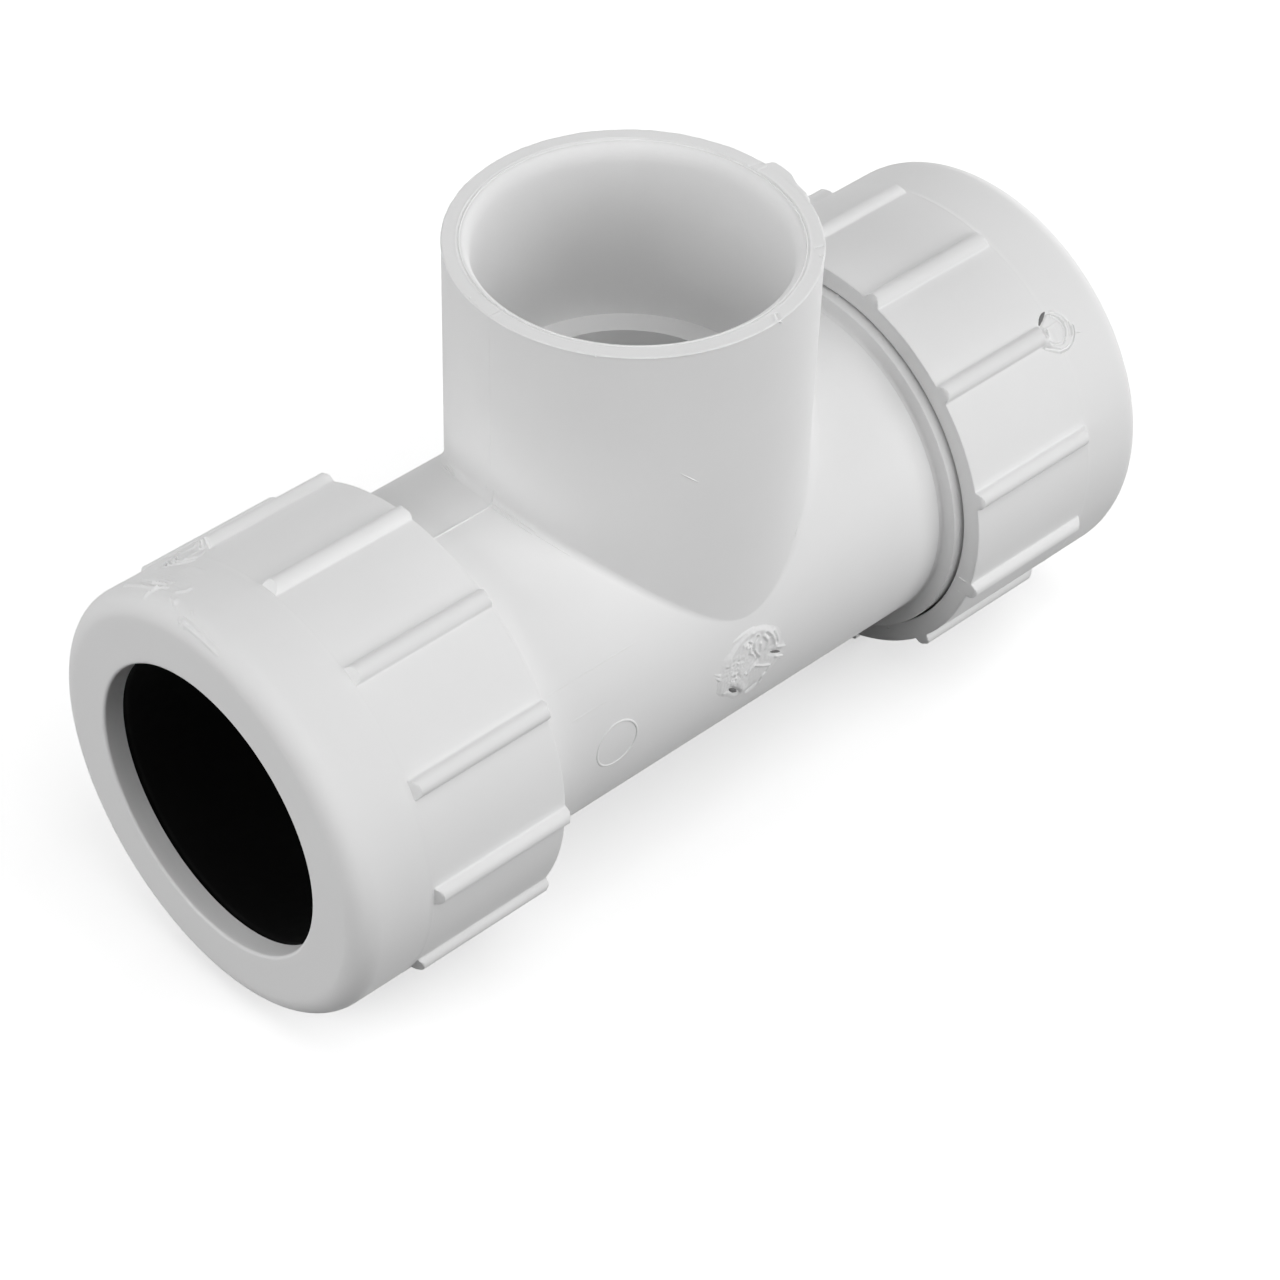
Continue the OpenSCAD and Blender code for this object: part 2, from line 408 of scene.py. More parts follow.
def rib_section():
    """Half of a rib's cross section, from its top down, as pairs of distance aside and height."""
    reach = RIB_R + RIB_FILLET
    foot = math.sqrt(reach ** 2 - RIB_FILLET ** 2)
    meet = math.atan2(foot, RIB_FILLET)
    points = [(RIB_R * math.sin(t), RIB_R * math.cos(t)) for t in evenly(0, meet, 7)]
    for k in (1, 2, 3):
        t = meet * (1 - k / 3)
        points.append((foot - RIB_FILLET * math.sin(t), RIB_FILLET - RIB_FILLET * math.cos(t)))
    return points


half = rib_section()
section = [(-s, h) for s, h in reversed(half[1:])] + half
section_edge = section[-1][0]
pitch_width = 2 * math.pi * NUT_R / RIB_COUNT
gap = pitch_width - 2 * section_edge
section += [(section_edge + gap * k / (PLAIN_COLUMNS + 1), 0.0) for k in range(1, PLAIN_COLUMNS + 1)]
print("a rib and the gap beside it take", len(section), "columns")

# %% Outline of a nut
NUT_LENGTH = 39.7
NUT_ROUND = 4.0
HOLE_R = 24.5
HOLE_ROUND = 0.5
SCREW_R = 32.75
MOUTH_R = 32.45
MOUTH_BREAK = 0.12
CHAMBER_R = 30.55
CHAMBER_SLANT = 1.5
SHOULDER = 31.2
THREAD_HIGH = 1.9
LIP_BACK = 36.05
RIB_LENGTH = 25.9
GATE_RIB = {"left": 11, "right": 10}
GATE_RIB_LENGTH = 23.7
BACK_CUT = 1.0
FRONT_SLANT = 0.8
PARTING_STEP = ((0.08, 0), (0.18, 0.03), (0.28, 0))
RIBBED_ROWS = (0.25, 0.5, 1.0, 2, 4, 7, 10, 13, 16, 19, 21.5, 22.5, 22.9, 23.1, 23.3, 23.5, 23.7, 24.2, 24.6)
SMOOTH_ROWS = (27, 28.5, 30, 31.5, 33, 34.5)
SCREW_ROWS = (24, 19, 14, 9, 5, 2, 1.4)
MOUTH_LAND = 1.1


def rib_cap(out, length):
    """How high a rib may stand here: its two ends are cut on a slant."""
    behind = BACK_CUT + out
    ahead = (length - out) * RIB_R / FRONT_SLANT
    return max(0.0, min(behind, ahead))


def arc(centre_out, centre_r, radius, start, end, steps):
    """Rows on a quarter round, by angle from the radial direction towards the front."""
    turns = [math.radians(angle) for angle in evenly(start, end, steps)]
    return [(centre_out + radius * math.sin(t), centre_r + radius * math.cos(t)) for t in turns]


def nut_rows():
    """Rows of the nut's skin as (out, radius, ribbed), from the mouth round the outside and back inside."""
    rows = [(0, r, False) for r in (MOUTH_R + MOUTH_BREAK, 33.7, 34.6)]
    rows += [(0, NUT_R - 0.25, True), (0.07, NUT_R - 0.07, True)]
    rows += [(out, NUT_R, True) for out in RIBBED_ROWS]
    rows += [(RIB_LENGTH - FRONT_SLANT * k / 5, NUT_R, True) for k in (5, 4, 3, 2, 1, 0)]
    plain = [(RIB_LENGTH + ahead, NUT_R + high) for ahead, high in PARTING_STEP]
    plain += [(out, NUT_R) for out in SMOOTH_ROWS]
    plain += arc(NUT_LENGTH - NUT_ROUND, NUT_R - NUT_ROUND, NUT_ROUND, 0, 90, 18)
    plain += [(NUT_LENGTH, r) for r in (30.4, 29, 27.6, 26.2, 25.4)]
    plain += arc(NUT_LENGTH - HOLE_ROUND, HOLE_R + HOLE_ROUND, HOLE_ROUND, 90, 180, 4)
    plain += [(out, HOLE_R) for out in (38.2, 37.2, LIP_BACK)]
    plain += [(LIP_BACK, 26.5), (LIP_BACK, CHAMBER_R - CHAMBER_SLANT), (LIP_BACK - CHAMBER_SLANT, CHAMBER_R)]
    plain += [(SHOULDER, CHAMBER_R), (SHOULDER - THREAD_HIGH, SCREW_R)]
    plain += [(out, SCREW_R) for out in SCREW_ROWS]
    plain += [(MOUTH_LAND, MOUTH_R), (MOUTH_BREAK, MOUTH_R)]
    return rows + [(out, radius, False) for out, radius in plain]


outline = nut_rows()
print("the outline of a nut has", len(outline), "rows")

# %% Build both nuts


def nut_skin(end):
    points = []
    for out, radius, ribbed in outline:
        for i in range(RIB_COUNT):
            length = GATE_RIB_LENGTH if i == GATE_RIB[end] else RIB_LENGTH
            for aside, height in section:
                lift = min(height, rib_cap(out, length)) if ribbed else 0.0
                turn = RIB_TURN[end] + 360 * i / RIB_COUNT + math.degrees(aside / NUT_R)
                points.append(on_run(end, out, radius + lift, turn))
    return points, ring_faces(len(outline), RIB_COUNT * len(section))


for end in SIDE:
    points, faces = nut_skin(end)
    skin = piece(end + "_nut_shell", points, faces, end + "_nut", nut_plastic)
    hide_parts(end + "_nut")

# %% [markdown]
# ## The screw threads
#
# A thread is a ridge that climbs by one pitch in each turn. Blender's screw modifier can draw one,
# but here the ridge also has to fade into the wall at both ends, so its points are set by a formula:
# a trapezoid with softened crest corners, carried round a helix in small steps.

# %% Thread ridges
PITCH = 5.0
THREAD_STEPS = 96
RISE_STEPS = 26
RIDGE_SECTION = ((-1.25, 0.0), (-0.62, 0.84), (-0.5, 0.96), (-0.34, 1.0),
                 (0.34, 1.0), (0.5, 0.96), (0.62, 0.84), (1.25, 0.0))
RUN_THREAD = {"start": 53.95, "stop": 72.35, "foot_r": 29.8, "crest_r": 32.12}
NUT_THREAD = {"start": 9.25, "stop": 28.05, "foot_r": 33.1, "crest_r": 30.85}


def thread_ridge(name, end, body, material, base, shift, start, stop, foot_r, crest_r):
    """A right-hand thread between two distances from a base on the run."""
    steps = int((stop - start) / PITCH * THREAD_STEPS)
    points = []
    for i in range(steps + 1):
        middle = base + start + PITCH * i / THREAD_STEPS
        rise = min(1.0, (i + 1) / RISE_STEPS, (steps - i + 1) / RISE_STEPS)
        turn = 360 * (middle - shift) / PITCH
        for along, up_share in RIDGE_SECTION:
            radius = foot_r + (crest_r - foot_r) * rise * up_share
            points.append(on_run(end, middle + along - NUT_BACK[end], radius, 90 - turn))
    faces = ring_faces(steps + 1, len(RIDGE_SECTION), closed=False)
    piece(name, points, faces, body, material, sharp=50)


for end in SIDE:
    thread_ridge(end + "_run_thread", end, "tee", body_plastic, 0, 0, **RUN_THREAD)
    thread_ridge(end + "_nut_thread", end, end + "_nut", nut_plastic, NUT_BACK[end], PITCH / 2, **NUT_THREAD)

# %% [markdown]
# ## The rubber rings
#
# Each ring has a thick head behind the lip of its nut and a long thin nose inside the body. It could be
# turned by a modifier, but its front edge is a little wavy, as soft rubber is when it is squeezed in place,
# so its rows are set one by one, like those of the nut.

# %% Build both rings
RING_R = 24.45
RING_COLUMNS = 180
RING_PLAY = 0.2
HEAD_R = 30.25
HEAD_LENGTH = 5.6
NOSE_LENGTH = 19
NOSE_TAPER = 1.6
WAVE_HIGH = 0.25
WAVE_TURNS = 2.2


def ring_rows():
    front = LIP_BACK - RING_PLAY
    head_back = front - HEAD_LENGTH
    tip = head_back - NOSE_LENGTH
    rows = [(tip + 0.3, RING_R), (tip, RING_R + 0.3), (tip, RING_R + 1.0), (tip + 0.3, RING_R + 1.3)]
    rows += [(tip + NOSE_LENGTH * k / 8, RING_R + 1.31 + NOSE_TAPER * k / 8) for k in range(1, 9)]
    rows += [(head_back, 28.6), (head_back, 29.9), (head_back + 0.3, HEAD_R), (head_back + 2, HEAD_R)]
    rows += [(front - 1.5, HEAD_R), (front - 0.75, 29.5), (front, 28.75), (front, 27), (front, 25.6)]
    rows += [(front - 0.2, 24.95), (front - 0.6, 24.55), (front - 1.1, RING_R)]
    rows += [(front - d, RING_R) for d in (3, 5, 8, 12, 16, 20)]
    return rows


for end in SIDE:
    points = []
    for out, radius in ring_rows():
        for k in range(RING_COLUMNS):
            turn = 360 * k / RING_COLUMNS
            spot = Vector((math.cos(math.radians(turn)), math.sin(math.radians(turn)), SIDE[end]))
            wave = noise.noise(spot * WAVE_TURNS) * WAVE_HIGH if radius < 26 and out > 32 else 0.0
            points.append(on_run(end, out - abs(wave), radius + abs(wave), turn))
    faces = ring_faces(len(ring_rows()), RING_COLUMNS)
    seal = piece(end + "_seal_ring", points, faces, end + "_ring", rubber)
    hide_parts(end + "_gasket")

# %% [markdown]
# ## Lines that the mould leaves
#
# Where the halves of a mould meet, the plastic creeps into the joint and leaves a hair-thin ridge.
# A bump in the material would fade from the side and be lost in the mesh, so each line is a real bead:
# a small half-round section carried along a path on the wall, with its foot sunk out of sight.

# %% A bead along a path
FOOT_SINK = 0.06
BEAD_SECTION = ((-0.5, -1), (-0.42, 0.35), (-0.2, 0.88), (0, 1), (0.2, 0.88), (0.42, 0.35), (0.5, -1))
BEAD_FADE = 3


def bead(path, width, height, closed=False):
    """Points and faces of a bead along (point, outward direction) pairs, faded at its ends."""
    points = []
    last = len(path) - 1
    for i, (spot, outward) in enumerate(path):
        before = path[i - 1][0] if i or closed else spot
        after = path[(i + 1) % len(path)][0] if i < last or closed else spot
        aside = (after - before).cross(outward).normalized()
        tall = height(i / last) if callable(height) else height
        wide = width(i / last) if callable(width) else width
        if not closed:
            tall *= min(1.0, i / BEAD_FADE, (last - i) / BEAD_FADE)
        for across, lift in BEAD_SECTION:
            rise = tall * lift if lift > 0 else -FOOT_SINK
            points.append((spot + aside * across * wide + outward * rise) * MM)
    return points, ring_faces(len(path), len(BEAD_SECTION), closed)


def beads(name, parts, body="tee", material=body_plastic, sharp=60):
    """One piece from several beads or rings, each given as its points and faces."""
    points, faces = [], []
    for more_points, more_faces in parts:
        start = len(points)
        points += more_points
        faces += [tuple(start + i for i in face) for face in more_faces]
    piece(name, points, faces, body, material, sharp=sharp)


def uneven(seed, low=0.3, high=1.0, tall=1.0):
    """A height along a bead that wanders between two shares of its full height."""
    def height(t):
        return tall * (low + (high - low) * (0.5 + 0.5 * noise.noise(Vector((t * 9, seed, 0.5)))))
    return height


print("the foot of a bead is sunk", FOOT_SINK, "mm into its wall")

# %% [markdown]
# The lines and scars lie on the barrel, on the branch and on the fillet between them. They could be dropped
# on the mesh by ray casts, but the walls are simple, so a formula for each gives a point and the way out.

# %% Walls of the body that carry the lines
BARREL_R = 29.45
COLLAR_R = 32.1
COLLAR_FROM = 42.8
BRANCH_R = 28.6
BRANCH_TAPER = 0.3
BRANCH_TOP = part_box("tee_body")[1][2] / MM
ROOT_LEFT_R = 1.2
ROOT_RIGHT_R = 4.0


def on_barrel(x, turn, radius=BARREL_R):
    """A point of the barrel and its outward direction, turned in degrees from the branch towards the back."""
    a = math.radians(turn)
    outward = Vector((0, math.sin(a), math.cos(a)))
    return Vector((x, 0, 0)) + outward * radius, outward


def branch_at(z):
    """Radius of the branch at a height: it is a touch slimmer at its foot."""
    return BRANCH_R - BRANCH_TAPER * (1 - z / BRANCH_TOP)


def on_branch(z, turn, radius=None):
    """A point of the branch and its outward direction, turned from the right nut towards the back."""
    a = math.radians(turn)
    outward = Vector((math.cos(a), math.sin(a), 0))
    return outward * (radius or branch_at(z)) + Vector((0, 0, z)), outward


def root_ball(turn, sink):
    """The ball that rolls round the root of the branch: its centre, its radius and its two contacts."""
    a = math.radians(turn)
    radius = ROOT_LEFT_R + (ROOT_RIGHT_R - ROOT_LEFT_R) * (1 + math.cos(a)) / 2
    meets = math.sqrt(BARREL_R ** 2 - (BRANCH_R * math.sin(a)) ** 2)
    reach = branch_at(meets) + radius - sink
    over = BARREL_R + radius - sink
    x, y = reach * math.cos(a), reach * math.sin(a)
    z = math.sqrt(over ** 2 - y ** 2)
    to_branch = Vector((-math.cos(a), -math.sin(a), 0))
    to_barrel = Vector((0, -y, -z)) / over
    return Vector((x, y, z)), radius, to_branch, to_barrel


def on_root(turn, share, sink=0.0):
    """A point of the fillet at the root of the branch: share 0 is on the branch and 1 on the barrel."""
    centre, radius, to_branch, to_barrel = root_ball(turn, sink)
    inward = (to_branch * (1 - share) + to_barrel * share).normalized()
    return centre + inward * radius, -inward


print("the branch is", round(BRANCH_TOP, 1), "mm high")

# %% [markdown]
# ## The collars behind the nuts
#
# A collar stands up from each end of the barrel, and its corner was never rounded: it shows as a crisp line
# in front of the nut. The solid has a soft corner there, so a thin turned ring is laid over it,
# with a short flare at its foot and a corner of a fifth of a millimetre.

# %% Crisp corners of the collars
COLLAR_FOOT = 0.38
COLLAR_FLARE = ((0.4, 0.2), (0.15, 0.55), (0.02, 1))
COLLAR_CORNER = 0.2
COLLAR_PROUD = 0.02
COLLAR_SINK = 0.1
COLLAR_COLUMNS = 240


def collar_rows():
    """The ring as (distance from the middle, radius), up its face, over its corner and back inside."""
    face = COLLAR_FROM - COLLAR_PROUD
    top = COLLAR_R + COLLAR_PROUD
    rows = [(face - 0.9, BARREL_R - COLLAR_SINK), (face - 0.8, BARREL_R)]
    rows += [(face - before, BARREL_R + share * COLLAR_FOOT) for before, share in COLLAR_FLARE]
    for angle in evenly(0, 90, 6):
        t = math.radians(angle)
        rows.append((face + COLLAR_CORNER * (1 - math.cos(t)), top - COLLAR_CORNER * (1 - math.sin(t))))
    rows += [(COLLAR_FROM + 1.2, top), (COLLAR_FROM + 1.25, COLLAR_R - 0.2)]
    rows += [(COLLAR_FROM + 0.9, COLLAR_R - 1.2), (COLLAR_FROM + 0.1, BARREL_R - COLLAR_SINK)]
    return rows


parts = []
for side in (-1, 1):
    points = []
    for x, radius in collar_rows():
        around = [on_barrel(side * x, 360 * k / COLLAR_COLUMNS, radius)[0] for k in range(COLLAR_COLUMNS)]
        points += [spot * MM for spot in around]
    parts.append((points, ring_faces(len(collar_rows()), COLLAR_COLUMNS)))
beads("collar_corners", parts, sharp=50)

# %% [markdown]
# ## The root of the branch
#
# Branch and barrel run into each other with a soft hollow, tight on the left and wider on the right.
# It could be left to the solids, where it is made of flat strips, but a hollow shows every strip in its
# shine. So a fine skin lies over it: the same rolling ball, in many more steps, with its edges just under
# the walls.

# %% Smooth hollow at the root
ROOT_STEPS = 288
ROOT_ARCS = 18
SKIN_SINK = 0.012
SKIN_DEEP = 0.25
points = []
for i in range(ROOT_STEPS):
    turn = 360 * i / ROOT_STEPS
    centre, radius, to_branch, to_barrel = root_ball(turn, SKIN_SINK)
    loop = [on_root(turn, k / ROOT_ARCS, SKIN_SINK)[0] for k in range(ROOT_ARCS + 1)]
    loop.append(centre + (radius + SKIN_DEEP) * to_barrel)
    loop.append(centre + (radius + 0.3) * (to_barrel + to_branch).normalized())
    loop.append(centre + (radius + SKIN_DEEP) * to_branch)
    points += [spot * MM for spot in loop]
piece("root_blend", points, ring_faces(ROOT_STEPS, ROOT_ARCS + 4), sharp=50)

# %% [markdown]
# The seam runs from under each nut along the barrel, up the root and the branch, and over the collars.
# It is low on the branch, where it was polished, and high on the barrel, so it is made of several beads.

# %% The seam where the two halves of the mould met
SEAM_Y = -1.35
SEAM_TURN = math.degrees(math.asin(SEAM_Y / BARREL_R))
SEAM_SLANT = 2.7


def seam_side(side, middle):
    """The seam from under a nut along the barrel and up the root of the branch."""
    barrel = [on_barrel(side * x, SEAM_TURN - 0.1 * (42 - x) / 12)
              for x in (42.6, 41, 39.5, 38, 36.5, 35, 33.5, 32, 31)]
    root = [on_root(middle - side * SEAM_SLANT * (1 - k / 6), 1 - k / 5) for k in range(6)]
    return barrel + root


parts = []
for side, middle in ((-1, 180), (1, 0)):
    parts.append(bead(seam_side(side, middle), 0.5, uneven(3 + side, 0.5, tall=0.24)))
    wall = [on_branch(height, middle) for height in evenly(34, 63, 16)]
    parts.append(bead(wall, 0.35, uneven(7 + side, tall=0.035)))
    over = [side * (COLLAR_FROM + d) for d in (0.5, 0.9, 1.4, 1.9, 2.4, 2.9, 3.4)]
    parts.append(bead([on_barrel(x, SEAM_TURN, COLLAR_R) for x in over], 0.5, 0.2))
under = [on_barrel(x, 180 - SEAM_TURN) for x in evenly(-42.3, 42.3, 60)]
parts.append(bead(under, 0.5, uneven(11, tall=0.2)))
beads("mould_seam", parts)

# %% [markdown]
# The mould closed badly at the root: short edges stand beside the seam, curved like the fillet. Each one
# keeps its share of the way from branch to barrel, so a row of turns at that share draws it.

# %% Edges of the fillet at the root
ROOT_EDGES = (
    (0.97, 182, 199, 0.2), (0.62, 182, 199.5, 0.13), (0.8, 199, 212, 0.06),
    (0.95, 151, 166, 0.14), (0.75, 152, 162, 0.1), (0.55, 154, 160, 0.08),
)
parts = []
for share, first, last, tall in ROOT_EDGES:
    path = [on_root(turn, share) for turn in evenly(first, last, 20)]
    parts.append(bead(path, 0.3, uneven(share * 50, 0.5, tall=tall)))
for turn in (181.6, 183.4, 178.2):
    path = [on_branch(height, turn) for height in evenly(30.6, 31.9, 6)]
    parts.append(bead(path, 0.24, 0.1))
beads("root_lines", parts)

# %% [markdown]
# ## The rim of the branch
#
# The rim is a flat ring that was trimmed after moulding, so its outer edge carries a ragged little burr,
# with a few pimples and flakes. Inside the flat, a rounded edge guides the pipe in.

# %% Rounded way in
LEAD_R = 25.8
SOCKET_R = 24.35
LEAD_DEEP = 3.3
LEAD_STEPS = 24
LEAD_COLUMNS = 240


def lead_rows():
    """The rounded way in as (radius, height): out of the socket wall, over the edge and onto the flat."""
    rows = [(SOCKET_R + 0.03, BRANCH_TOP - LEAD_DEEP - 0.6)]
    for k in range(LEAD_STEPS + 1):
        t = 0.5 * math.pi * k / LEAD_STEPS
        rows.append((LEAD_R - (LEAD_R - SOCKET_R + 0.006) * math.cos(t),
                     BRANCH_TOP - LEAD_DEEP + (LEAD_DEEP + 0.004) * math.sin(t)))
    rows += [(LEAD_R + 0.25, BRANCH_TOP - 0.03), (LEAD_R + 0.25, BRANCH_TOP - 0.5)]
    return rows + [(SOCKET_R + 0.5, BRANCH_TOP - LEAD_DEEP - 0.6)]


points = []
for radius, height in lead_rows():
    points += [on_branch(height, 360 * k / LEAD_COLUMNS, radius)[0] * MM for k in range(LEAD_COLUMNS)]
piece("mouth_lining", points, ring_faces(len(lead_rows()), LEAD_COLUMNS), sharp=50)

# %% [markdown]
# The burr goes all the way round and is never the same height twice, so it is one closed bead with its height
# from noise of two sizes. The pimples and the small flakes of flash are short beads, each at its own turn.

# %% Burr of the rim
BURR_WIDTH = 0.36


def burr_height(t):
    turn = 2 * math.pi * t
    spot = Vector((math.cos(turn), math.sin(turn), 0))
    return 0.13 + 0.07 * noise.noise(spot * 14) + 0.06 * noise.noise(spot * 40)


burr = []
for turn in range(360):
    spot, outward = on_branch(BRANCH_TOP - 0.05, turn, BRANCH_R - 0.06)
    burr.append((spot, (outward + Vector((0, 0, 1))).normalized()))
parts = [bead(burr, BURR_WIDTH, burr_height, closed=True)]
print("the burr is drawn through", len(burr), "points")

# %% Pimples and small flakes
PIMPLE_WIDTH = 0.55
PIMPLES = ((28.25, 169.5, 0.3), (27.9, 171.6, 0.26), (28.2, 173.8, 0.22), (28.4, -144.2, 0.2))
FLAKE_WIDTH = 0.32
FLAKE_LEAN = 0.35
SMALL_FLAKES = (
    (-84.8, 1.6, 0.9, 0.6), (-144, 1.2, 0.4, 0.5), (-126.5, 3, 0.3, 0.3), (-62, 2.2, 0.2, 0.2),
    (-109, 2, 0.2, 0.2), (-97, 3, 0.22, 0.25), (170, 4, 0.25, 0.3),
)


def on_rim(radius, turn, lift=0.0):
    """A point of the flat of the rim, and straight up."""
    return on_branch(BRANCH_TOP + lift, turn, radius)[0], Vector((0, 0, 1))


def flake(turn, spread, stand, drop):
    """A torn flake of flash that leans out over the outer edge of the rim."""
    path = []
    for k in range(13):
        spot, outward = on_branch(BRANCH_TOP - drop * k / 12, turn + spread * (k / 12 - 0.5), BRANCH_R - 0.1)
        path.append((spot, (outward + Vector((0, 0, FLAKE_LEAN))).normalized()))

    def height(t):
        return stand * math.sin(math.pi * min(1, t * 1.1)) * uneven(turn, 0.5)(t)
    return bead(path, FLAKE_WIDTH, height)


for radius, turn, tall in PIMPLES:
    path = [on_rim(radius, turn + 0.25 * (k - 3)) for k in range(7)]
    parts.append(bead(path, PIMPLE_WIDTH, tall))
beads("rim_burr", parts)
beads("rim_flash", [flake(*numbers) for numbers in SMALL_FLAKES])

# %% [markdown]
# ## Scars where the melt came in
#
# The melt enters each mould through a gate, and a torn disc stays where the gate was broken off.
# It could be sculpted by hand, but heights from a formula come out the same on each run. So each scar is a
# small patch that follows the wall under it: a grid of points, each lifted by a height made from strokes
# and noise, over a hidden floor that closes it into a solid.

# %% A patch on a wall
PATCH_EDGE = -0.07
PATCH_DEEP = 0.5
PATCH_FADE = 6


def patch(name, place, half_u, half_v, height, steps, body="tee", material=body_plastic):
    """A closed patch. place(u, v, lift) gives a point in metres, and height(u, v) gives its lift in mm."""
    nu, nv = steps
    points = []
    for deep in (False, True):
        for j in range(nv + 1):
            for i in range(nu + 1):
                u = half_u * (2 * i / nu - 1)
                v = half_v * (2 * j / nv - 1)
                edge = min(1 - abs(u) / half_u, 1 - abs(v) / half_v)
                fade = min(1.0, edge * PATCH_FADE)
                lift = -PATCH_DEEP if deep else PATCH_EDGE + (height(u, v) - PATCH_EDGE) * fade
                points.append(place(u, v, lift))
    row = nu + 1
    under = row * (nv + 1)
    faces = []
    for j in range(nv):
        for i in range(nu):
            a = j * row + i
            faces.append((a, a + 1, a + 1 + row, a + row))
            faces.append((a + under, a + under + row, a + under + 1 + row, a + under + 1))
    border = list(range(row)) + [j * row + nu for j in range(1, nv + 1)]
    border += [nv * row + i for i in range(nu - 1, -1, -1)] + [j * row for j in range(nv - 1, 0, -1)]
    for k, a in enumerate(border):
        b = border[(k + 1) % len(border)]
        faces.append((a, a + under, b + under, b))
    piece(name, points, faces, body, material, sharp=60)


print("a patch is closed", PATCH_DEEP, "mm under its wall")

# %% Heights of a patch
WIDEST_BANKED = 0.3
DISC_SINK = 0.08


def ridge(distance, width):
    """A round-topped line, 1 at distance 0."""
    return math.exp(-(distance / width) ** 2)


def rough(u, v, size, seed):
    return noise.noise(Vector((u / size, v / size, seed)))


def disc(distance, reach, fade):
    """1 inside a disc and 0 beyond its edge, with a straight slope between."""
    return min(1.0, max(0.0, (reach - distance) / fade))


def eased(share):
    """A share from 0 to 1 with a soft start and a soft end."""
    return share * share * (3 - 2 * share)


def off_line(u, v, line):
    """How far a point of a patch lies from a line through a few points, in millimetres."""
    nearest = math.inf
    for (u0, v0), (u1, v1) in zip(line, line[1:]):
        du, dv = u1 - u0, v1 - v0
        share = max(0.0, min(1.0, ((u - u0) * du + (v - v0) * dv) / (du * du + dv * dv)))
        nearest = min(nearest, math.hypot(u - u0 - share * du, v - v0 - share * dv))
    return nearest


def cut(distance, width):
    """A groove, -1 at distance 0, between two low banks of the plastic that it pushed aside."""
    return 0.6 * ridge(distance - 2.0 * width, 0.9 * width) - ridge(distance, width)


def drawn(u, v, strokes):
    """The relief of (height, width, line) strokes at a point of a patch: ridges, or grooves where negative.
    A fine groove has banks, and a wide pit has none."""
    lift = 0.0
    for tall, width, line in strokes:
        away = off_line(u, v, line)
        banked = tall < 0 and width < WIDEST_BANKED
        lift += -tall * cut(away, width) if banked else tall * ridge(away, width)
    return lift


print("grooves under", WIDEST_BANKED, "mm have banks")

# %% Gate scar under the foot of the branch
SCAR_TURN = -93.0
SCAR_X = -0.3
SCAR_REACH = 7.6
SCAR_HIGH = 0.25
SCAR_PITS = (((4.3, 0.2), (5.6, -0.5), (6.9, -1.4)), ((-4.3, -2.6), (-3.1, -3.8), (-1.9, -5.1)))
SCAR_STROKES = (
    (0.17, 0.5, ((-5, 3), (-4.5, 4), (-3.7, 4.9), (-2.9, 5.5), (-1.9, 6.1), (-0.7, 6.4), (0.4, 6.4))),
    (0.22, 0.5, ((0.4, 6.4), (1.6, 6.2), (2.9, 5.7), (3.8, 4.8), (4.5, 3.7), (5.1, 2.4))),
    (-0.2, 0.2, ((4.7, 4.1), (5.2, 2.9), (5.5, 1.6))),
    (0.3, 0.24, ((2.6, 4.7), (3.4, 3.3), (3.3, 2.5), (3, 2))),
    (0.3, 0.24, ((1.9, 3.6), (1.8, 2.1), (1.6, 1.2))),
    (-0.3, 0.26, ((1.1, 5.1), (0.5, 4.6), (0.2, 4.1), (0.1, 3.1))),
    (-0.24, 0.24, ((3, 4.9), (3.6, 4.1))),
    (-0.24, 0.18, ((-1.4, 5), (-0.8, 5), (-0.1, 4.4), (-0.7, 4.3))),
    (-0.22, 0.17, ((0.1, 3.1), (1.2, 1.2), (0.8, 0.6), (0.1, 0.1), (-1, -0.8))),
    (0.22, 0.17, ((1.3, 0.1), (0.5, 0), (-0.3, -0.5), (-0.8, -1.5))),
    (0.26, 0.17, ((0.5, -0.2), (2.4, -1.5), (4.4, -2.6), (3.9, -3.9), (3.2, -4.3), (2.8, -5.7))),
    (0.28, 0.17, ((3.4, -5.6), (2.5, -5.9), (1.4, -6.3), (0.2, -6.8))),
    (0.26, 0.17, ((3.3, -6.3), (2.1, -7.2), (0.7, -7.6))),
    (-0.35, 0.42, SCAR_PITS[0]), (0.3, 0.2, ((5.5, -1.3), (7.4, -2.6))),
    (-0.35, 0.5, SCAR_PITS[1]), (0.24, 0.7, ((-3.3, -1.7), (-2.2, -3.1), (-0.9, -4.9))),
    (0.16, 0.9, ((-2.4, 0.3), (-1.4, -2.4))),
    (0.2, 0.18, ((-8, 2.7), (-6.8, 1.8))), (0.18, 0.18, ((-7.7, 1.8), (-6.8, 0.9))),
    (0.2, 0.17, ((5.7, 0.6), (7.8, -0.6))), (0.14, 0.14, ((7, -3), (8, -3.8))),
    (0.12, 0.3, ((-3.6, 6.6), (-1.4, 7.1), (0.5, 7.1))), (0.16, 0.2, ((-5.6, -2.8), (-5.2, -3.1))),
)


def body_scar(u, v):
    """A low disc with strokes on it, and a torn field on its left."""
    inside = disc(math.hypot(u * 0.95, v - 0.2) + 0.9 * rough(u, v, 3.0, 2), SCAR_REACH, 2.2)
    torn = disc(math.hypot(u + 3.2, v - 1.6), 3.4, 3.4) + disc(math.hypot(u + 3.6, v + 1.2), 2.0, 2.0)
    lift = SCAR_HIGH * eased(inside) - DISC_SINK
    lift += torn * (0.22 * rough(u, v, 0.55, 9) + 0.14 * rough(u, v, 0.28, 4))
    return lift + 0.045 * inside * rough(u, v, 0.5, 6) + drawn(u, v, SCAR_STROKES)


def place_body_scar(u, v, lift=0.0):
    return on_barrel(SCAR_X + u, SCAR_TURN + math.degrees(v / BARREL_R), BARREL_R + lift)


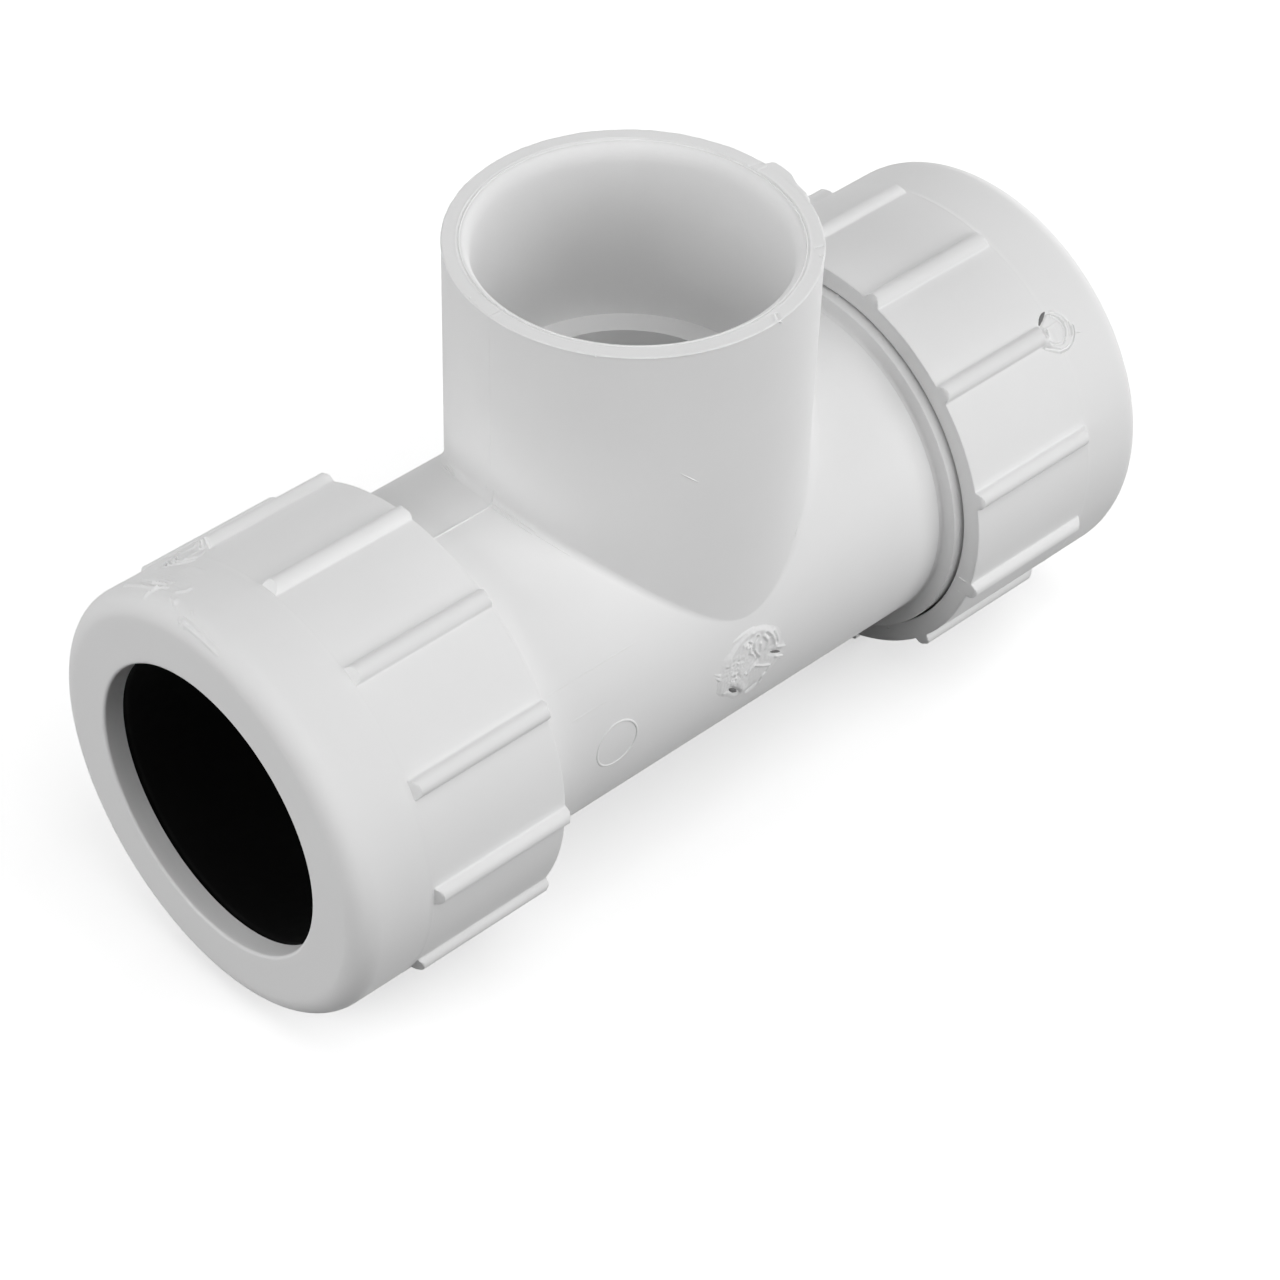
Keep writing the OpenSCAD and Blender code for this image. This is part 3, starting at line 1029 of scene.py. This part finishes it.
patch("body_gate_scar", lambda *spot: place_body_scar(*spot)[0] * MM, 8.6, 8.4, body_scar, (136, 132))

# %% [markdown]
# Two holes are torn deep into the scar, and they read as black. The wall under the patch can't be cut away,
# so a flat strip of painted shade, in the dark mix, lies at the bottom of each dent, whose lips hide its
# edges.

# %% Painted shade at the bottoms of the two pits
PIT_WIDTHS = (0.62, 0.95)


def torn_width(widest):
    """The width along a torn pit: it comes to a point at both ends, and its edge wanders."""
    def width(t):
        return 0.06 + widest * math.sin(math.pi * t) ** 0.6 * uneven(widest * 20, 0.6)(2.5 * t)
    return width


parts = []
for line, wide in zip(SCAR_PITS, PIT_WIDTHS):
    path = []
    for (u0, v0), (u1, v1) in zip(line, line[1:]):
        path += [place_body_scar(u0 + (u1 - u0) * k / 6, v0 + (v1 - v0) * k / 6) for k in range(6)]
    parts.append(bead(path, torn_width(wide), 0.14))
# the strips are painted shade in the dark mix
beads("gate_scar_pit_shade", parts, material=painted_pit_shade)

# %% [markdown]
# Each nut was filled at one of its ribs, and has a smaller scar there with two rings round its middle.
# The two could be drawn apart, but they look much alike, so one relief serves both. The far one is torn
# deeper and gets a strip of painted shade as well.

# %% Gate scars at a rib of each nut
GATE_OUT = 26.3
GATE_TURN = {"left": -31, "right": -45}
GATE_REACH = 4.0
GATE_HIGH = 0.28
GATE_DEPTH = 1.9
GATE_PIT_WIDTH = 0.95
GATE_STROKES = (
    (-0.11, 0.15, ((0, 3.4), (0.5, 3.2), (1.4, 2.6), (2.4, 1.6), (2.7, 0.8))),
    (-0.11, 0.15, ((3.1, 0.2), (3, -0.8), (2.6, -1.6))),
    (0.1, 0.2, ((4, -0.6), (3.6, -1.9), (2.5, -3), (1, -3.5), (-0.7, -3.4))),
    (-0.12, 0.15,
     ((3.7, -0.6), (3.3, -1.7), (2.3, -2.7), (0.9, -3.2), (-0.6, -3.1), (-1.9, -2.3), (-3.2, -1.5))),
    (-0.11, 0.14, ((0.7, 2.5), (1.5, 1.7), (2, 0.7), (1.9, -0.5), (1.3, -1.4))),
    (-0.11, 0.14, ((0.8, -1.9), (0.3, -2.2), (-1.1, -1.9), (-2.4, -1))),
    (-0.34, 0.45, ((0.2, 3.7), (-1.3, 3.1), (-2.4, 2.3))),
    (-0.2, 0.18, ((-1.9, 0.9), (-2.6, 0.3))), (0.07, 0.15, ((1.3, 1.3), (-1.7, 1.1))),
    (0.14, 0.14, ((4, -1.9), (4.8, -2.2))),
    (0.5, 0.75, ((-4.4, 0.4), (-2.6, 0.3))), (0.3, 0.6, ((-3.4, -0.6), (-2.4, -0.9))),
)


def nut_scar(u, v):
    """A low disc with strokes on it."""
    inside = disc(math.hypot(u, v) + 0.3 * rough(u, v, 2.0, 3), GATE_REACH, 1.0)
    lift = GATE_HIGH * eased(inside) - DISC_SINK
    return lift + 0.03 * inside * rough(u, v, 0.6, 8) + GATE_DEPTH * drawn(u, v, GATE_STROKES)


def place_nut_scar(end):
    def place(u, v, lift):
        return on_run(end, GATE_OUT + u, NUT_R + lift, GATE_TURN[end] + math.degrees(v / NUT_R))
    return place


for end in SIDE:
    patch(end + "_nut_gate_scar", place_nut_scar(end), 5.2, 4.6, nut_scar, (100, 90),
          end + "_nut", nut_plastic)

path = []
for share in evenly(0, 1, 12):
    spot = place_nut_scar("right")(0.15 - 2.5 * share, 3.6 - 1.5 * share ** 1.4, 0.0) / MM
    path.append((spot, Vector((0, spot.y, spot.z)).normalized()))
# a strip of painted shade at the bottom of the far nut's torn pit
beads("right_nut_gate_pit_shade", [bead(path, torn_width(GATE_PIT_WIDTH), 0.09)], "right_nut", painted_pit_shade)

# %% [markdown]
# The near nut also has a smear beside its gate, where the skin of the plastic folded as it ran over the
# round front edge. It is one more patch, drawn out round the nut, with streaks, a scratch and pimples.

# %% Smear on the near nut
SMEAR_OUT = 34.0
SMEAR_TURN = -18.0
SMEAR_DEPTH = 1.8
SMEAR_STROKES = (
    (0.14, 0.26, ((0.8, -7.9), (0.3, -4.9), (0, -1.4))),
    (0.16, 0.26, ((2.4, -10.9), (2.3, -5.5), (2.1, -2.3), (1.2, -0.9))),
    (0.2, 0.2, ((1.2, -4.6), (0.7, -2.1))), (0.2, 0.16, ((3.9, -3.2), (3.1, -2.6), (2, -2.1))),
    (0.13, 0.3, ((1.4, 1.6), (0.1, 2.5), (-0.5, 2.4))),
    (0.2, 0.42, ((2.7, 3.1), (2.9, 3.4))), (-0.14, 0.3, ((3.4, 2.6), (3.6, 2.8))),
    (0.16, 0.16, ((2.8, 7.1), (3.2, 7.9))), (-0.12, 0.25, ((4.7, 7), (4.9, 7.3))),
    (0.16, 0.2, ((4.4, 5.8), (4.75, 7), (4.75, 9.1), (4.85, 11.7), (4.95, 16))),
    (0.14, 0.18, ((4.1, 6.4), (4.2, 9.1), (4.3, 11.7), (4.4, 16))),
    (0.08, 0.2, ((2.6, 2), (3.3, 3.8), (4.2, 5.4))),
    (0.14, 1.1, ((-4.6, -3.5), (-5, -0.6))), (0.1, 0.2, ((-6, -6.1), (-6.1, -3.7))),
)


def nut_surface(out):
    """Radius of the nut at a distance out, and the direction out of its wall as (out, radius)."""
    front = NUT_LENGTH - NUT_ROUND
    if out <= front:
        return NUT_R, (0.0, 1.0)
    across = min(1.0, (out - front) / NUT_ROUND)
    up_share = math.sqrt(1 - across ** 2)
    return NUT_R - NUT_ROUND + NUT_ROUND * up_share, (across, up_share)


def place_smear(u, v, lift):
    out = SMEAR_OUT + u
    radius, (forward, outward) = nut_surface(out)
    turn = SMEAR_TURN + math.degrees(v / NUT_R)
    return on_run("left", out + lift * forward, radius + lift * outward, turn)


def smear(u, v):
    """A long low cloud of folded skin, with strokes on it."""
    cloud = max(0.0, rough(u, v, 2.6, 1.5) + 0.2)
    spread = max(0.0, 1 - math.hypot((u - 1.0) / 5.2, (v + 3.0) / 10.0))
    lift = -0.07 + 0.14 * min(1.0, 2 * spread) + 0.1 * cloud * spread
    lift += 0.12 * spread * rough(u * 2.6, v * 0.45, 0.8, 7)
    return lift + SMEAR_DEPTH * drawn(u, v, SMEAR_STROKES)


patch("left_nut_smear", place_smear, 5.6, 17.0, smear, (92, 210), "left_nut", nut_plastic)

# %% [markdown]
# The flat of the rim gets a thin skin of its own, because a groove can only be cut where there is something
# to cut. A fine double step runs round just inside the flat, the seam crosses it on both sides, and the
# front edge has a few torn nicks.

# %% Flat of the rim
RIM_SKIN = 0.14
RIM_SINK = 0.05
RIM_ROWS = 42
RIM_COLUMNS = 900
RIM_MIDDLE_R = 27
STROKE_REACH = 8
RIM_STEPS = ((-0.2, 0.15, 26.13), (0.08, 0.1, 25.86), (0.05, 0.14, 26.45))
RIM_STROKES = (
    (-0.12, 0.14, ((25.8, 180), (28.35, 179.6))), (0.1, 0.16, ((25.9, 180.7), (28.3, 180.3))),
    (-0.1, 0.13, ((26, 0.6), (28.3, 0.4))), (0.08, 0.14, ((26, 1.2), (28.3, 1))),
    (-0.22, 0.16, ((27.2, -45.9), (28.3, -44.7))), (0.06, 0.16, ((27.1, -46.6), (28.1, -45.5))),
    (-0.14, 0.16, ((28, -49.6), (28.6, -49.6))), (0.14, 0.16, ((28, -50.3), (28.6, -50.3))),
    (-0.25, 0.22, ((27.3, -83.2), (28.6, -85))), (0.15, 0.16, ((27.2, -84.2), (28.3, -86))),
    (-0.22, 0.16, ((26.4, 4.5), (28.5, 2.1))),
)


def rim_lift(radius, turn):
    """Relief of the flat: its edges dip under the wall, and the steps and nicks are cut into it."""
    spot = Vector((math.cos(math.radians(turn)), math.sin(math.radians(turn)), 0))
    edge = min(radius - LEAD_R + 0.02, BRANCH_R - 0.04 - radius)
    lift = (RIM_SKIN + RIM_SINK) * min(1.0, max(0.0, edge / 0.1)) - RIM_SINK
    worn = 0.75 + 0.5 * noise.noise(spot * 3.1)
    for tall, width, at in RIM_STEPS:
        lift += tall * worn * ridge(radius - at, width)
    lift += 0.012 * noise.noise(spot * 30 + Vector((0, 0, radius)))
    for tall, width, ((r0, t0), (r1, t1)) in RIM_STROKES:
        away = (turn - t0 + 180) % 360 - 180
        if abs(away) < STROKE_REACH:
            line = ((r0, 0.0), (r1, math.radians(t1 - t0) * RIM_MIDDLE_R))
            lift += tall * ridge(off_line(radius, math.radians(away) * RIM_MIDDLE_R, line), width)
    return lift


points = []
for i in range(RIM_ROWS + 1):
    radius = LEAD_R - 0.02 + (BRANCH_R - LEAD_R) * i / RIM_ROWS
    for k in range(RIM_COLUMNS):
        turn = 360 * k / RIM_COLUMNS
        points.append(on_rim(radius, turn, rim_lift(radius, turn))[0] * MM)
for radius in (BRANCH_R - 0.1, LEAD_R + 0.1):
    points += [on_rim(radius, 360 * k / RIM_COLUMNS, -0.3)[0] * MM for k in range(RIM_COLUMNS)]
piece("rim_flat", points, ring_faces(RIM_ROWS + 3, RIM_COLUMNS), sharp=60)

# %% [markdown]
# The trimming tore a broad flake from the edge on the right, and it still leans over the wall. A bead is
# too slim for it, so a small shell runs from its root on the flat to a ragged tip, read from a short table.

# %% Torn flake on the right of the rim
FLAKE_EDGE = (
    (1.9, 28.45), (1.7, 28.75), (1.1, 29.65), (0.2, 30), (-3, 30), (-6.8, 29.92),
    (-9.1, 29.5), (-11.2, 29.2), (-13.5, 29.15), (-17, 29.2), (-20, 28.95), (-23, 28.5),
)
FLAKE_STEPS = 90
FLAKE_TOP = ((28, -0.1), (28.2, 0.14), (28.5, 0.17))
FLAKE_TIP = ((-0.1, 0.12), (0, 0.02), (-0.08, -0.16))
FLAKE_UNDER = ((28.4, -0.7), (28, -0.8))


def flake_reach(turn):
    """How far out the torn edge of the flake stands at a turn."""
    for (t0, r0), (t1, r1) in zip(FLAKE_EDGE, FLAKE_EDGE[1:]):
        if t0 >= turn >= t1:
            return r0 + (r1 - r0) * (turn - t0) / (t1 - t0)
    return BRANCH_R


points = []
for turn in evenly(FLAKE_EDGE[0][0], FLAKE_EDGE[-1][0], FLAKE_STEPS):
    reach = flake_reach(turn) + 0.05 * noise.noise(Vector((turn * 1.7, 0, 3)))
    rows = FLAKE_TOP + tuple((reach + past, lift) for past, lift in FLAKE_TIP) + FLAKE_UNDER
    points += [on_rim(radius, turn, lift)[0] * MM for radius, lift in rows]
piece("rim_flake", points, ring_faces(FLAKE_STEPS + 1, len(rows), closed=False), sharp=40)

# %% [markdown]
# ## Plain marks on the barrel
#
# A plain raised ring stands low on the front of the barrel, with two fine straight edges of a mould insert
# above it, and a small scratch crosses the front of the branch. A few short ticks are left on the back
# of the far nut. Each could be a cut in the mesh, but they stand up from the wall, so they are beads again.

# %% Ring, insert edges and scratch
RING_MARK = {"x": -28.7, "turn": -91.0, "radius": 4.1}
INSERT_EDGES = ((-61.8, -41.5, -20.5), (-73.6, -37.5, -29.5))
TICKS = (
    ((33.2, -102.8), (34.9, -102.2), 0.3, 0.16),
    ((35.3, -107.5), (35.5, -113.5), 0.24, 0.1),
    ((33.3, -146), (33.3, -146.9), 0.5, 0.3),
    ((34.2, -107), (34.3, -107.4), 0.3, 0.14),
)


def circle_on_barrel(x, turn, radius, steps=72):
    path = []
    for k in range(steps):
        a = 2 * math.pi * k / steps
        path.append(on_barrel(x + radius * math.cos(a), turn + math.degrees(radius * math.sin(a) / BARREL_R)))
    return path


def ring_height(t):
    return 0.12 + 0.04 * math.sin(6.28 * t + 1.2)


parts = [bead(circle_on_barrel(**RING_MARK), 0.45, ring_height, closed=True)]
for turn, first, last in INSERT_EDGES:
    path = [on_barrel(x, turn) for x in evenly(first, last, 24)]
    parts.append(bead(path, 0.24, uneven(turn, tall=0.05)))
scratch = [on_branch(41.6 - 2.4 * k / 12, -117.8 + 6.0 * k / 12) for k in range(13)]
parts.append(bead(scratch, 0.2, 0.06))
beads("barrel_marks", parts)

parts = []
for (radius, turn), (to_radius, to_turn), width, tall in TICKS:
    path = []
    for share in evenly(0, 1, 8):
        spot = on_run("right", 0, radius + (to_radius - radius) * share, turn + (to_turn - turn) * share) / MM
        path.append((spot, Vector((-1, 0, 0))))
    parts.append(bead(path, width, tall))
beads("right_nut_ticks", parts, "right_nut", nut_plastic)
